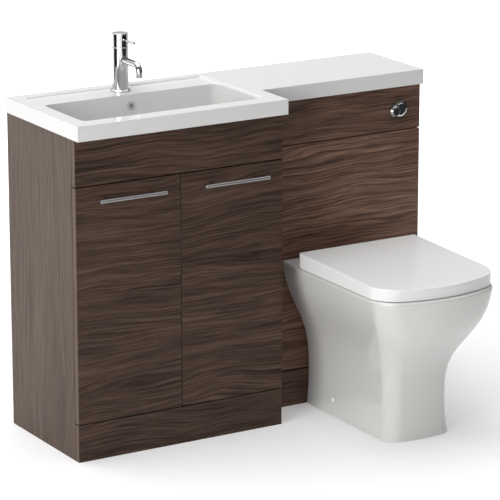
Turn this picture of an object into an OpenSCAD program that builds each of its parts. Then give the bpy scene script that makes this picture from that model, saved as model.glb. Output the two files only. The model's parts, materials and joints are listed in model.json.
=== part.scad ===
// Toilet and basin combination unit: a vanity cabinet with a moulded basin top,
// a furniture unit hiding the cistern beside it, and a back-to-wall pan with its seat.
// The origin is the middle of the outline's base: +X to the right, -Y to the front, +Z up.

/* [Overall] */
// Width of the whole unit over the worktop
unit_w = 1100; // [1060:1:1300]
// Height of the worktop's upper face
unit_h = 870; // [850:1:920]
// How far the cabinets stand in from the worktop's ends
side_reveal = 2.5; // [1:0.5:6]

/* [Worktop and basin] */
// Thickness of the worktop's edge
top_t = 39; // [34:1:46]
// Width of the deep part that holds the basin
basin_w = 601; // [590:1:680]
// Depth of the basin part, wall to front
basin_d = 390; // [386:1:420]
// Depth of the worktop over the toilet unit
wc_top_d = 261; // [256:1:290]
// Thickness of the moulded deck and of the bowl's wall
deck_t = 13; // [11:0.5:15]
// Width of the rim at each side of the basin
rim_side = 40; // [30:1:60]
// Width of the rim along the wall
rim_rear = 25; // [18:1:32]
// Width of the rim along the front
rim_front = 47; // [44:1:70]
// Depth of the shallow step inside the rim
recess_h = 6; // [4:0.5:8]
// Depth of the tap ledge behind the bowl, from the rim's inner edge
ledge_d = 84; // [78:1:95]
// Depth of the bowl below the rim
bowl_h = 118; // [95:1:125]
// Corner radius of the bowl
bowl_r = 26; // [14:1:40]

/* [Cabinets] */
// Thickness of the carcass boards
board_t = 18; // [15:0.5:20]
// Thickness of doors, fascias, panel and plinths
front_t = 18; // [16:0.5:20]
// How far the worktop stands out over the doors
top_overhang = 23.5; // [15:0.5:30]
// How far the worktop stands out over the toilet unit's panel
wc_overhang = 12; // [6:0.5:20]
// Gap between neighbouring fronts
front_gap = 3; // [2:0.5:4]
// Gap behind a closed door
door_gap = 1; // [0.8:0.1:2]
// Height of the gap between plinth and doors
plinth_line = 98.5; // [80:0.5:120]
// Height of the gap between doors and fascia
fascia_line = 710.5; // [690:0.5:715]
// Height of the wall rails
rail_h = 100; // [70:1:110]
// How far the adjustable shelf stands back from the doors
shelf_back = 28; // [20:1:90]
// Depth kept free for pipes behind the shelf and through the base
service_d = 62; // [50:1:80]
// Height of the shelf's underside
shelf_z = 370; // [200:1:420]
// Width of the narrow rails behind the gaps
stretcher_d = 70; // [50:1:80]

/* [Door furniture] */
// Length of a handle bar
handle_l = 188; // [160:1:220]
// Diameter of a handle bar
handle_bar_d = 10; // [8:0.5:14]
// Distance between a handle's two posts
handle_pitch = 128; // [96:32:128]
// Distance from door face to the bar's axis
handle_reach = 28; // [24:1:34]
// Distance from a door's upper edge to its handle
handle_drop = 34; // [26:1:60]
// Diameter of a hinge cup
cup_d = 35; // [30:1:38]
// Depth of a hinge cup
cup_h = 12; // [10:0.5:13]
// Distance from a door's edge to the hinge cup
cup_edge = 5; // [4:0.5:7]
// Distance of each hinge from the end of its door
hinge_end = 95; // [80:1:130]

/* [Tap] */
// Diameter of the tap's body
tap_d = 42; // [38:1:46]
// Distance of the tap's axis in front of the rim's inner edge
tap_back = 31; // [31:0.5:35]
// Height of the fixed body above the ledge
tap_body_h = 115; // [105:1:130]
// Height of the turning cap
tap_cap_h = 36; // [32:1:42]
// Reach of the spout from the tap's axis
spout_reach = 100; // [85:1:115]
// Height of the spout's axis above the ledge
spout_z = 83; // [74:1:88]
// Diameter of the spout
spout_d = 18; // [16:0.5:20]
// Bend radius of the spout
spout_bend = 17; // [15:0.5:22]
// Diameter of the lever pin
lever_d = 7.5; // [6:0.5:8]
// Reach of the lever pin from the tap's axis
lever_reach = 75; // [60:1:90]
// Tilt of the lever from shut to full flow
lever_tilt = 16; // [10:1:16]

/* [Waste and trap] */
// Diameter of the hole in the bowl's floor
waste_hole_d = 45; // [43:0.5:48]
// Travel of the press-down plug
plug_travel = 8; // [6:0.5:9]
// Diameter of the trap's body
trap_d = 62; // [56:1:70]
// Height of the trap's lower end
trap_z = 545; // [520:1:560]
// Height of the trap's body
trap_h = 95; // [90:1:110]
// Diameter of the waste pipe
waste_pipe_d = 32; // [30:0.5:34]

/* [Toilet pan] */
// How far the pan stands out from the panel
pan_l = 521; // [500:1:560]
// Height of the pan's rim
pan_h = 403.5; // [395:0.5:412]
// Half the pan's width at the rim
pan_half_w = 180; // [179:1:190]
// Half the pan's width at the waist
waist_half_w = 94; // [90:1:105]
// Half the pan's width at the foot
foot_half_w = 100; // [95:1:108]
// How far the foot's front stands out from the panel
foot_l = 404; // [385:1:420]
// How far the waist's front stands out from the panel
waist_l = 399; // [380:1:410]
// Wall thickness of the pan
china_t = 14; // [12:0.5:16]
// How far the rim's front edge is bowed
pan_bow = 48; // [36:1:56]
// How far the foot's front edge is bowed
foot_bow = 12; // [6:1:18]
// Height of the soil outlet's axis
soil_z = 180; // [175:1:190]
// Diameter of the soil spigot
spigot_d = 102; // [98:1:104]
// Diameter of the soil pipe at the wall
soil_pipe_d = 110; // [106:1:112]
// Height of the flush inlet's axis
inlet_z = 338; // [330:1:350]

/* [Seat and lid] */
// Half the lid's width
lid_half_w = 180; // [176:1:184]
// Distance from panel to the lid's back edge
lid_back = 86; // [82:1:95]
// How far the lid's front edge is bowed
lid_bow = 45; // [36:1:52]
// Distance of the lid's front from the rim's front
lid_in = 12; // [9:1:16]
// Height of the lid's upper face above the rim, at the back
lid_rise = 42.5; // [41:0.5:45]
// Fall of the lid's upper face from back to front
lid_fall = 9.5; // [6:0.5:11]
// Thickness of the lid's shell
lid_t = 4.5; // [3.5:0.5:5.5]
// Thickness of the seat ring
seat_t = 13; // [11:0.5:15]
// Width of the seat ring at its sides
seat_band = 58; // [50:1:66]
// Distance between the two seat hinges
hinge_pitch = 155; // [145:1:165]
// Height of the seat hinges' axis above the rim
seat_axis_z = 18.5; // [18:0.5:19.5]

/* [Cistern and flush] */
// Space between the cistern and each side of its unit
cistern_gap = 41.5; // [20:0.5:60]
// Depth of the cistern
cistern_d = 130; // [120:1:150]
// Height of the cistern's body
cistern_h = 320; // [290:1:335]
// Height of the cistern's underside
cistern_z = 450; // [440:1:460]
// Wall thickness of the cistern
cistern_t = 3.5; // [3:0.5:5]
// Diameter of the flush pipe
flush_pipe_d = 40; // [36:1:42]
// Distance of the flush button from the toilet unit's right side
button_in = 64.5; // [60:0.5:90]
// Height of the flush button
button_z = 769; // [755:1:780]
// Diameter of the button's main bezel
bezel_d = 41; // [39:1:46]
// Diameter of the smaller button's collar
half_bezel_d = 29; // [27:1:32]
// Travel of the flush buttons
button_travel = 5; // [3:0.5:6]

/* [Hidden] */

// Clearances
fit = 0.06;          // shaft in its bore
seat_gap = 0.3;      // between bodies that move past each other
hole_gap = 0.5;      // screw or pipe in a drilled hole
over = 1;            // how far a cut runs past a face
steps = 64;          // smoothness of round parts

// Colours
white_gloss = [0.93, 0.93, 0.92];
china = [0.9, 0.9, 0.88];
walnut = [0.3, 0.23, 0.2];
walnut_side = [0.42, 0.36, 0.32];
chrome = [0.78, 0.79, 0.8];
steel = [0.66, 0.66, 0.65];
rubber_black = [0.12, 0.12, 0.12];
plastic_grey = [0.6, 0.62, 0.64];
plastic_white = [0.88, 0.88, 0.87];
brass = [0.75, 0.62, 0.32];

// Places across the unit
top_x0 = -unit_w / 2;
top_x1 = unit_w / 2;
vanity_x0 = top_x0 + side_reveal;
vanity_x1 = top_x0 + basin_w - side_reveal;
wc_x0 = vanity_x1;
wc_x1 = top_x1 - side_reveal;
wc_xc = (wc_x0 + wc_x1) / 2;
basin_xc = top_x0 + basin_w / 2;
door_xc = (vanity_x0 + vanity_x1) / 2;

// Places from wall to front
vanity_d = basin_d - top_overhang - front_t - door_gap;
wc_front_d = wc_top_d - wc_overhang;
wc_d = wc_front_d - front_t;
depth = wc_front_d + pan_l;
wall = depth / 2;
function from_wall(d) = wall - d;
vanity_front = from_wall(vanity_d);
door_back = from_wall(vanity_d + door_gap);
door_face = door_back - front_t;
wc_carcass_front = from_wall(wc_d);
panel_face = from_wall(wc_front_d);

// Heights
carcass_h = unit_h - top_t;
ledge_z = unit_h - recess_h;
plinth_top = plinth_line - front_gap / 2;
door_z0 = plinth_line + front_gap / 2;
door_z1 = fascia_line - front_gap / 2;
fascia_z0 = fascia_line + front_gap / 2;
fascia_z1 = carcass_h - 1;
front_inset = 0.5;

// A box between two corners
module block(x0, x1, y0, y1, z0, z1) {
    translate([x0, y0, z0]) cube([x1 - x0, y1 - y0, z1 - z0]);
}

// A round bar along +X, +Y or +Z
module bar_x(x0, x1, r) { translate([x0, 0, 0]) rotate([0, 90, 0]) cylinder(r = r, h = x1 - x0, $fn = steps); }
module bar_y(y0, y1, r) { translate([0, y1, 0]) rotate([90, 0, 0]) cylinder(r = r, h = y1 - y0, $fn = steps); }
module bar_z(z0, z1, r) { translate([0, 0, z0]) cylinder(r = r, h = z1 - z0, $fn = steps); }

// Round bars end to end through points of the YZ plane, with a ball a little fuller than
// the bars at each bend
module bent_bar(points, r, ball) {
    last = len(points) - 1;
    for (i = [0:last - 1]) {
        run = points[i + 1] - points[i];
        translate([0, points[i][0], points[i][1]]) rotate([-atan2(run[0], run[1]), 0, 0])
            cylinder(r = r, h = norm(run), $fn = steps);
    }
    for (i = [1:last - 1]) translate([0, points[i][0], points[i][1]]) sphere(r = r + ball, $fn = steps);
}

// A slab with rounded corners, centred on the origin
module slab_round(w, d, r, h) {
    linear_extrude(h) {
        square([w - 2 * r, d], center = true);
        square([w, d - 2 * r], center = true);
        for (sx = [-1, 1], sy = [-1, 1])
            translate([sx * (w / 2 - r), sy * (d / 2 - r)]) circle(r = r, $fn = 32);
    }
}

// A skin through rings of equal point count, closed by a cap at each end,
// or joined from the last ring to the first when it runs round
module loft(rings, endless = false) {
    n = len(rings[0]);
    m = len(rings);
    spans = endless ? m : m - 1;
    sides = [for (i = [0:spans - 1]) for (j = [0:n - 1])
        let (a = i * n + j, b = i * n + (j + 1) % n,
            c = ((i + 1) % m) * n + j, d = ((i + 1) % m) * n + (j + 1) % n)
        each [[a, d, b], [a, c, d]]];
    caps = endless ? [] : [for (j = [0:n - 1]) let (k = (j + 1) % n)
        each [[m * n, j, k], [m * n + 1, (m - 1) * n + k, (m - 1) * n + j]]];
    polyhedron(concat([for (r = rings) each r], [middle(rings[0]), middle(rings[m - 1])]),
        concat(sides, caps), convexity = 8);
}

function middle(ring) = [for (k = [0:2]) [for (p = ring) 1] * [for (p = ring) p[k]] / len(ring)];

// Points of an arc, ends included
function arc(cx, cy, r, a0, a1, n) =
    [for (i = [0:n]) let (a = a0 + (a1 - a0) * i / n) [cx + r * cos(a), cy + r * sin(a)]];

// A rounded rectangle, anticlockwise from its right side
function round_box(x0, x1, y0, y1, r, n = 5) = concat(
    arc(x1 - r, y1 - r, r, 0, 90, n), arc(x0 + r, y1 - r, r, 90, 180, n),
    arc(x0 + r, y0 + r, r, 180, 270, n), arc(x1 - r, y0 + r, r, 270, 360, n));

function lift(outline, z) = [for (p = outline) [p[0], p[1], z]];

// ---------------------------------------------------------------- worktop and basin

bowl_x0 = top_x0 + rim_side;
bowl_x1 = top_x0 + basin_w - rim_side;
recess_y1 = from_wall(rim_rear);
recess_y0 = from_wall(basin_d - rim_front);
bowl_y1 = recess_y1 - ledge_d;
bowl_floor = unit_h - bowl_h;
waste_x = basin_xc;
waste_y = (bowl_y1 + recess_y0) / 2;
waste_r = waste_hole_d / 2;
tap_y = recess_y1 - tap_back;
tap_hole_r = 17.5;
tap_flange_out = 5.5;    // how far the tap's foot stands out past its body
overflow_z = unit_h - 36;
overflow_r = 7;
edge_r = 3;
step_in = 4;         // plan width of the soft step down from the rim
bowl_lean = 6;       // how far each bowl wall leans in, top to bottom
floor_r = 24;        // rounding between the bowl's walls and its floor
floor_fall = 4;      // fall of the bowl's floor to the waste

// One level ring of the bowl, drawn in by inset from the bowl's mouth
function bowl_ring(inset, r, z) = lift(round_box(bowl_x0 + step_in + inset, bowl_x1 - step_in - inset,
    recess_y0 + step_in + inset, bowl_y1 - inset, max(r, 2)), z);

// One level ring of the recess, drawn in by inset from the rim
function recess_ring(inset, z) = lift(round_box(bowl_x0 + inset, bowl_x1 - inset,
    recess_y0 + inset, recess_y1 - inset, bowl_r * 0.6 - inset / 2), z);

// The recess inside the rim and its soft step
module basin_recess() {
    steps_down = [[1, 1], [0.75, 0.86], [0.45, 0.54], [0.22, 0.24], [0, 0.07], [-0.25, 0]];
    loft(concat([for (s = steps_down) recess_ring(s[0] * step_in, unit_h - s[1] * recess_h)],
        [recess_ring(-0.25 * step_in, unit_h + over)]));
}

// The bowl's inner skin, or its outer one when grown by t
module bowl_skin(t, z_top) {
    low = bowl_floor - t;
    high = min(z_top, ledge_z + over);
    lean_h = ledge_z - bowl_floor - floor_r;
    walls = [for (i = [0:3]) let (f = i / 3)
        bowl_ring(-t + bowl_lean * f, bowl_r + t, high - (high - (bowl_floor + floor_r)) * f)];
    foot = [for (a = [22:17:90]) bowl_ring(bowl_lean - t + floor_r * (1 - cos(a)), bowl_r + t,
        bowl_floor + floor_r - (floor_r + t) * sin(a))];
    loft([for (i = [len(foot) - 1:-1:0]) foot[i], for (i = [3:-1:0]) walls[i]]);
}

// Two rectangles of the L-shaped plan, drawn in by inset on the outside
module worktop_plan(inset, z0, z1) {
    block(top_x0 + inset, top_x0 + basin_w - inset, from_wall(basin_d) + inset, wall - inset, z0, z1);
    block(top_x0 + inset, top_x1 - inset, from_wall(wc_top_d) + inset, wall - inset, z0, z1);
}

skirt_t = 16;        // wall of the worktop's edge below its deck
under_t = deck_t - 3;    // wall of the bowl
channel_w = 34;      // overflow channel behind and below the bowl
channel_d = 12;
channel_t = 4;
boss_r = waste_r + 12;
boss_z = bowl_floor - under_t - channel_d - channel_t;

module overflow_channel(grow) {
    w = channel_w / 2 + grow;
    back = bowl_y1 + under_t + channel_d + grow;
    low = bowl_floor - under_t - channel_d - grow;
    block(waste_x - w, waste_x + w, waste_y, back, low, bowl_floor - under_t);
    block(waste_x - w, waste_x + w, bowl_y1 - bowl_lean, back, low, overflow_z + overflow_r + 4 + grow);
}

module worktop_basin() color(white_gloss) difference() {
    union() {
        difference() {
            worktop_plan(0, carcass_h, unit_h);
            difference() {
                worktop_plan(skirt_t, carcass_h - over, unit_h - deck_t - recess_h);
                block(top_x0 + rim_side - deck_t, top_x0 + basin_w - rim_side + deck_t,
                    recess_y0 - deck_t + 1, bowl_y1 + deck_t, carcass_h - 2 * over, unit_h);
            }
        }
        bowl_skin(under_t, unit_h - deck_t);
        translate([waste_x, waste_y, 0]) bar_z(boss_z, bowl_floor - 2, boss_r);
        overflow_channel(channel_t);
    }
    basin_recess();
    bowl_skin(0, unit_h);
    translate([waste_x, waste_y, 0]) {
        bar_z(boss_z - 30, bowl_floor + over, waste_r);
        bar_z(bowl_floor - 3, bowl_floor + over, waste_flange_r + hole_gap);
    }
    difference() {
        overflow_channel(0);
        bowl_skin(under_t, unit_h);
    }
    translate([waste_x, tap_y, 0]) bar_z(carcass_h - 20, unit_h, tap_hole_r);
    at_overflow() bar_y(-20, under_t + 3, overflow_r);
}

ring_t = 2.2;        // wall of the overflow ring
hub_r = 2.6;         // disc held by three spokes in the ring's mouth

module overflow_ring() color(chrome) at_overflow() {
    difference() {
        union() {
            bar_y(-ring_t, 0, overflow_r + 3.5);
            bar_y(-0.5, under_t - 1, overflow_r - hole_gap / 2);
        }
        bar_y(-over - 3, deck_t, overflow_r - ring_t);
    }
    bar_y(-ring_t + 0.4, 0.5, hub_r);
    for (a = [30:120:270]) rotate([0, a, 0]) block(0, overflow_r - ring_t + 0.6, -ring_t + 0.8, 0.4, -0.6, 0.6);
}

// Square to the bowl's leaning rear wall at the overflow
module at_overflow() {
    high = ledge_z + over;
    wall_h = high - bowl_floor - floor_r;
    translate([waste_x, bowl_y1 - bowl_lean * (high - overflow_z) / wall_h, overflow_z])
        rotate([-atan(bowl_lean / wall_h), 0, 0]) children();
}

// ---------------------------------------------------------------- waste and trap

waste_flange_r = waste_r + 9;
waste_flange_z = bowl_floor - 3;
waste_body_r = waste_r - 1.5;
waste_bore_r = waste_body_r - 3.5;
waste_low = bowl_floor - 85;
plug_r = waste_flange_r - 3;
plug_stem_r = 4;
plug_low = bowl_floor + plug_travel + 0.5;
guide_z = bowl_floor - 38;

module basin_waste() color(chrome) translate([waste_x, waste_y, 0]) {
    difference() {
        union() {
            bar_z(waste_flange_z, waste_flange_z + 3, waste_flange_r);
            bar_z(waste_low, bowl_floor - 1, waste_body_r);
        }
        translate([0, 0, bowl_floor - 8]) cylinder(r1 = waste_bore_r, r2 = waste_bore_r + 3, h = 8 + over, $fn = steps);
        bar_z(waste_low - over, bowl_floor, waste_bore_r);
        translate([0, 0, bowl_floor - under_t - channel_d]) for (a = [0, 90]) rotate(a)
            block(-waste_body_r - over, waste_body_r + over, -6, 6, 0, channel_d - 1);
    }
    difference() {
        union() {
            for (a = [45, -45]) rotate(a) block(-waste_bore_r - 0.5, waste_bore_r + 0.5, -1.5, 1.5, guide_z, guide_z + 10);
            bar_z(guide_z, guide_z + 14, plug_stem_r + 3);
        }
        bar_z(guide_z - over, guide_z + 20, plug_stem_r + fit);
    }
}

module waste_plug() color(chrome) translate([waste_x, waste_y, 0]) {
    rotate_extrude($fn = steps) polygon([[0, plug_low], [plug_r - 1, plug_low], [plug_r, plug_low + 1],
        [plug_r, plug_low + 3], [plug_r - 1.5, plug_low + 4.5], [plug_r * 0.6, plug_low + 6.2], [0, plug_low + 7]]);
    bar_z(guide_z - 6, plug_low + 1, plug_stem_r);
}

module waste_nut() {
    translate([waste_x, waste_y, 0]) {
        color(rubber_black) difference() {
            bar_z(boss_z - 4, boss_z, boss_r - 2);
            bar_z(boss_z - 10, boss_z + over, waste_body_r);
        }
        color(plastic_white) difference() {
            union() {
                translate([0, 0, boss_z - 14]) cylinder(r = boss_r - 1, h = 10, $fn = 8);
                bar_z(boss_z - 6, boss_z - 4, boss_r);
            }
            bar_z(boss_z - 20, boss_z + over, waste_body_r);
        }
    }
}

trap_r = trap_d / 2;
pipe_r = waste_pipe_d / 2;
pipe_t = 2;
trap_top = trap_z + trap_h;
trap_out_z = trap_top - 30;
cup_top = trap_z + 0.44 * trap_h;

module bottle_trap() color(plastic_white) translate([waste_x, waste_y, 0]) difference() {
    union() {
        bar_z(cup_top - 12, trap_top, trap_r - 4);
        bar_z(trap_top - 4, waste_low + 16, pipe_r + pipe_t);
        bar_z(waste_low - 8, waste_low + 22, waste_body_r + 6);
        translate([0, 0, trap_top - 4]) cylinder(r1 = trap_r - 4, r2 = pipe_r + 4, h = 12, $fn = steps);
        translate([0, 0, trap_out_z]) {
            bar_y(trap_r - 10, trap_r + 22, pipe_r + 7);
            bar_y(trap_r - 10, wall - waste_y, pipe_r);
        }
    }
    bar_z(trap_z, trap_top - 3, trap_r - 7);
    bar_z(trap_top - 10, waste_low + 2, pipe_r - 1);
    bar_z(waste_low - 0.01, waste_low + 40, waste_body_r);
    translate([0, 0, trap_out_z]) bar_y(0, wall - waste_y + over, pipe_r - pipe_t);
}

module trap_cup() color(plastic_white) translate([waste_x, waste_y, 0]) {
    difference() {
        union() {
            bar_z(trap_z + 4, cup_top, trap_r);
            translate([0, 0, trap_z]) cylinder(r1 = trap_r - 5, r2 = trap_r, h = 4, $fn = steps);
            for (a = [0:30:330]) rotate(a) translate([trap_r - 0.6, 0, 0]) bar_z(trap_z + 6, cup_top - 3, 2.2);
        }
        bar_z(trap_z + 4, cup_top + over, trap_r - 4);
    }
    difference() {
        bar_z(trap_z + 18, trap_top - 10, pipe_r - 1 - fit);
        bar_z(trap_z + 17, trap_top, pipe_r - 3);
    }
    for (a = [0:60:300]) rotate(a) block(pipe_r - 3, trap_r - 3.8, -1, 1, trap_z + 20, trap_z + 26);
}

// ---------------------------------------------------------------- tap

tap_r = tap_d / 2;
body_top = ledge_z + tap_body_h;
cap_z0 = body_top + seat_gap;
cap_z1 = cap_z0 + tap_cap_h;
lever_z = cap_z0 + tap_cap_h * 0.58;
spout_r = spout_d / 2;
cartridge_r = tap_r - 4;
barrel_r = 5.5;
pivot_r = 2.5;
cap_bore_r = tap_r - 4;

module at_tap() translate([waste_x, tap_y, 0]) children();

// Path of the spout: level run, bend, drop to the aerator; drawn solid at radius r
module spout(r) {
    drop = 12;
    translate([0, 0, ledge_z + spout_z]) {
        bar_y(-(spout_reach - spout_bend), 0, r);
        translate([0, -(spout_reach - spout_bend), -spout_bend]) rotate([90, 0, -90])
            rotate_extrude(angle = 90, $fn = steps) translate([spout_bend, 0]) circle(r = r, $fn = 32);
        translate([0, -spout_reach, -spout_bend]) bar_z(-drop, 0, r);
    }
}

module tap_body() color(chrome) at_tap() difference() {
    union() {
        bar_z(ledge_z, body_top - 1, tap_r);
        translate([0, 0, body_top - 1]) cylinder(r1 = tap_r, r2 = tap_r - 0.8, h = 1, $fn = steps);
        rotate_extrude($fn = steps) polygon([for (p = [[-tap_r, 0], [tap_flange_out, 0], [tap_flange_out, 3],
            [4, 5], [1, 6.2], [-tap_r, 6.2]]) [tap_r + p[0], ledge_z + p[1]]]);
        bar_z(clamp_z - 14, ledge_z + 1, shank_r);
        spout(spout_r);
    }
    bar_z(body_top - 34, body_top + over, cartridge_r + fit);
    bar_z(clamp_z - 16, body_top - 33, shank_r - 3.5);
    difference() {
        spout(spout_r - 3);
        bar_z(ledge_z, body_top, shank_r - 4);
    }
}

module tap_cartridge() color(brass) at_tap() {
    bar_z(body_top - 34, body_top + 2.5, cartridge_r);
    bar_z(body_top + 2.5, lever_z - barrel_r - 1.5, 6);
}

module tap_aerator() color(steel) at_tap() translate([0, -spout_reach, ledge_z + spout_z - spout_bend - 12]) difference() {
    union() {
        bar_z(-2, 0, spout_r - 0.6);
        bar_z(-2, 6, spout_r - 3);
    }
    for (a = [0:60:300]) rotate(a) translate([3.2, 0, 0]) bar_z(-3, 7, 1);
    bar_z(-3, 7, 1);
}

module tap_cap() color(chrome) at_tap() difference() {
    union() {
        translate([0, 0, cap_z0]) cylinder(r1 = tap_r - 0.8, r2 = tap_r, h = 1, $fn = steps);
        bar_z(cap_z0 + 1, cap_z1 - 1, tap_r);
        translate([0, 0, cap_z1 - 1]) cylinder(r1 = tap_r, r2 = tap_r - 1, h = 1, $fn = steps);
    }
    bar_z(cap_z0 - over, cap_z1 - 4, cap_bore_r + 2 * seat_gap);
    translate([0, 0, lever_z]) {
        bar_x(-tap_r + 1.2, tap_r - 1.2, pivot_r + fit);
        slot_w = lever_d / 2 + 0.4;
        rise = tap_r * tan(lever_tilt) + 0.4;
        block(-slot_w, slot_w, -tap_r - over, -barrel_r, 0, rise);
        bar_y(-tap_r - over, -barrel_r, slot_w);
        translate([0, 0, rise]) bar_y(-tap_r - over, -barrel_r, slot_w);
    }
}

module tap_lever() color(chrome) at_tap() translate([0, 0, lever_z]) {
    bar_y(-lever_reach + 0.8, 0, lever_d / 2);
    translate([0, -lever_reach + 0.8, 0]) rotate([90, 0, 0])
        cylinder(r1 = lever_d / 2, r2 = lever_d / 2 - 0.8, h = 0.8, $fn = steps);
    bar_x(-cap_bore_r + 3, cap_bore_r - 3, barrel_r);
    bar_x(-tap_r + 1.4, tap_r - 1.4, pivot_r);
}

shank_r = 15.5;
clamp_z = unit_h - deck_t - recess_h - 6;

module tap_clamp() at_tap() {
    color(rubber_black) difference() {
        bar_z(clamp_z + 3, unit_h - deck_t - recess_h, tap_r + 3);
        bar_z(clamp_z, unit_h, shank_r + fit);
    }
    color(brass) difference() {
        union() {
            bar_z(clamp_z, clamp_z + 3, tap_r + 3);
            translate([0, 0, clamp_z - 9]) cylinder(r = shank_r + 7, h = 9, $fn = 6);
        }
        bar_z(clamp_z - 20, clamp_z + 5, shank_r + fit);
    }
}

tail_r = 4.8;
stub_r = 7.5;        // end of a tail, sized for a supply pipe's coupling
stub_l = 35;
tail_low = clamp_z - 150;
tail_path = [[6.2, body_top - 34], [6.2, clamp_z - 28], [32, clamp_z - 90], [32, tail_low]];

// Two supply tails that leave the shank side by side and spread apart below it
module tap_tails() color(brass) at_tap() for (a = [90, -90]) rotate(a) {
    bent_bar(tail_path, tail_r, 0.3);
    translate([0, tail_path[3][0], 0]) bar_z(tail_low - stub_l, tail_low + 4, stub_r);
}

// ---------------------------------------------------------------- vanity carcass

shelf_gap = 1;
pin_r = 2.5;
pin_in = 9;          // depth of a shelf pin in the board
pin_end_in = 37;     // distance of a shelf pin from the shelf's front or back edge
shelf_y1 = from_wall(board_t + service_d);
shelf_y0 = vanity_front + shelf_back;
pin_ys = [shelf_y0 + pin_end_in, shelf_y1 - pin_end_in];
stretcher_z = fascia_line - board_t / 2;
base_z = plinth_line - board_t / 2;

module side_panel(x0, inner, d) {
    difference() {
        block(x0, x0 + board_t, from_wall(d), wall, 0, carcass_h);
        if (inner != 0) for (y = pin_ys)
            translate([inner > 0 ? x0 + board_t - pin_in : x0 - over, y, shelf_z - pin_r])
                bar_x(0, pin_in + over, pin_r);
    }
}

module vanity_side_left() color(walnut_side) side_panel(vanity_x0, 1, vanity_d);
module vanity_side_right() color(walnut_side) side_panel(vanity_x1 - board_t, -1, vanity_d);

notch_w = 180;       // width of the cut for pipes in the base panel

// The base panel, cut away at the back where pipes come up
module vanity_base_panel() color(walnut_side) difference() {
    block(vanity_x0 + board_t, vanity_x1 - board_t, vanity_front, from_wall(board_t), base_z, base_z + board_t);
    block(waste_x - notch_w / 2, waste_x + notch_w / 2, shelf_y1, wall, base_z - over, base_z + board_t + over);
}

module vanity_stretcher() color(walnut_side)
    block(vanity_x0 + board_t, vanity_x1 - board_t, vanity_front, vanity_front + stretcher_d,
        stretcher_z, stretcher_z + board_t);

fix_r = 4;
fix_pitch = 420;
fix_pitch_wc = 320;
rail_top = carcass_h - 25;

module wall_rail(x0, x1, z0, h, pitch, hole_z = 0) difference() {
    block(x0, x1, from_wall(board_t), wall, z0, z0 + h);
    if (pitch > 0) for (s = [-1, 1])
        translate([(x0 + x1) / 2 + s * pitch / 2, 0, hole_z]) bar_y(from_wall(board_t) - over, wall + over, fix_r);
}

module vanity_wall_rails() color(walnut_side) {
    x0 = vanity_x0 + board_t;
    x1 = vanity_x1 - board_t;
    wall_rail(x0, x1, rail_top - rail_h, rail_h, fix_pitch, rail_top - rail_h / 2);
    wall_rail(x0, x1, base_z, rail_h, 0);
}

module vanity_fascia() color(walnut)
    block(vanity_x0 + front_inset, vanity_x1 - front_inset, vanity_front - front_t, vanity_front,
        fascia_z0, fascia_z1);

module vanity_plinth() color(walnut)
    block(vanity_x0 + front_inset, vanity_x1 - front_inset, vanity_front - front_t, vanity_front, 0, plinth_top);

module vanity_shelf() color(walnut_side)
    block(vanity_x0 + board_t + shelf_gap, vanity_x1 - board_t - shelf_gap, shelf_y0, shelf_y1,
        shelf_z, shelf_z + board_t);

module shelf_pins() color(steel) for (y = pin_ys) {
    reach = 10;
    translate([vanity_x0 + board_t - pin_in, y, shelf_z - pin_r]) bar_x(0, pin_in + reach, pin_r);
    translate([vanity_x1 - board_t - reach, y, shelf_z - pin_r]) bar_x(0, pin_in + reach, pin_r);
}

// ---------------------------------------------------------------- doors

door_l_x0 = vanity_x0 + front_inset;
door_l_x1 = door_xc - front_gap / 2;
door_r_x0 = door_xc + front_gap / 2;
door_r_x1 = vanity_x1 - front_inset;
door_mid = (door_l_x1 - door_l_x0) / 2;
handle_z = door_z1 - handle_drop;
hinge_zs = [door_z0 + hinge_end, door_z1 - hinge_end];
cup_r = cup_d / 2;
cup_in = cup_edge + cup_r;      // hinge cup's centre from the door's edge
screw_r = 2;
post_r = 4;

// side is 1 for the left door, whose hinges are at its left, and -1 for the right door
module door(x0, x1, side) color(walnut) difference() {
    block(x0, x1, door_face, door_back, door_z0, door_z1);
    edge = side > 0 ? x0 : x1;
    for (z = hinge_zs) translate([edge + side * cup_in, 0, z])
        bar_y(door_back - cup_h, door_back + over, cup_r + fit);
    for (s = [-1, 1]) translate([(x0 + x1) / 2 + s * handle_pitch / 2, 0, handle_z])
        bar_y(door_face - over, door_back + over, screw_r + hole_gap);
}

module door_left() door(door_l_x0, door_l_x1, 1);
module door_right() door(door_r_x0, door_r_x1, -1);

module handle(x0, x1) color(steel) translate([(x0 + x1) / 2, door_face, handle_z]) difference() {
    union() {
        translate([0, -handle_reach, 0]) {
            bar_x(-handle_l / 2 + 0.6, handle_l / 2 - 0.6, handle_bar_d / 2);
            for (s = [-1, 1]) translate([s * (handle_l / 2 - 0.6), 0, 0]) rotate([0, s * 90, 0])
                cylinder(r1 = handle_bar_d / 2, r2 = handle_bar_d / 2 - 0.6, h = 0.6, $fn = steps);
        }
        for (s = [-1, 1]) translate([s * handle_pitch / 2, 0, 0]) bar_y(-handle_reach, 0, post_r);
    }
    for (s = [-1, 1]) translate([s * handle_pitch / 2, 0, 0]) bar_y(-14, over, screw_r);
}

module handle_left() handle(door_l_x0, door_l_x1);
module handle_right() handle(door_r_x0, door_r_x1);

module handle_screws(x0, x1) color(steel) for (s = [-1, 1])
    translate([(x0 + x1) / 2 + s * handle_pitch / 2, 0, handle_z]) difference() {
        union() {
            bar_y(door_face - 12, door_back + 1, screw_r);
            translate([0, door_back + 2, 0]) rotate([90, 0, 0]) cylinder(r1 = 3, r2 = 4.2, h = 2, $fn = steps);
        }
        for (a = [0, 90]) rotate([0, a, 0]) block(-2.2, 2.2, door_back + 0.8, door_back + 3, -0.4, 0.4);
    }

module handle_screws_left() handle_screws(door_l_x0, door_l_x1);
module handle_screws_right() handle_screws(door_r_x0, door_r_x1);

flange_t = 0.7;

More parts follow.
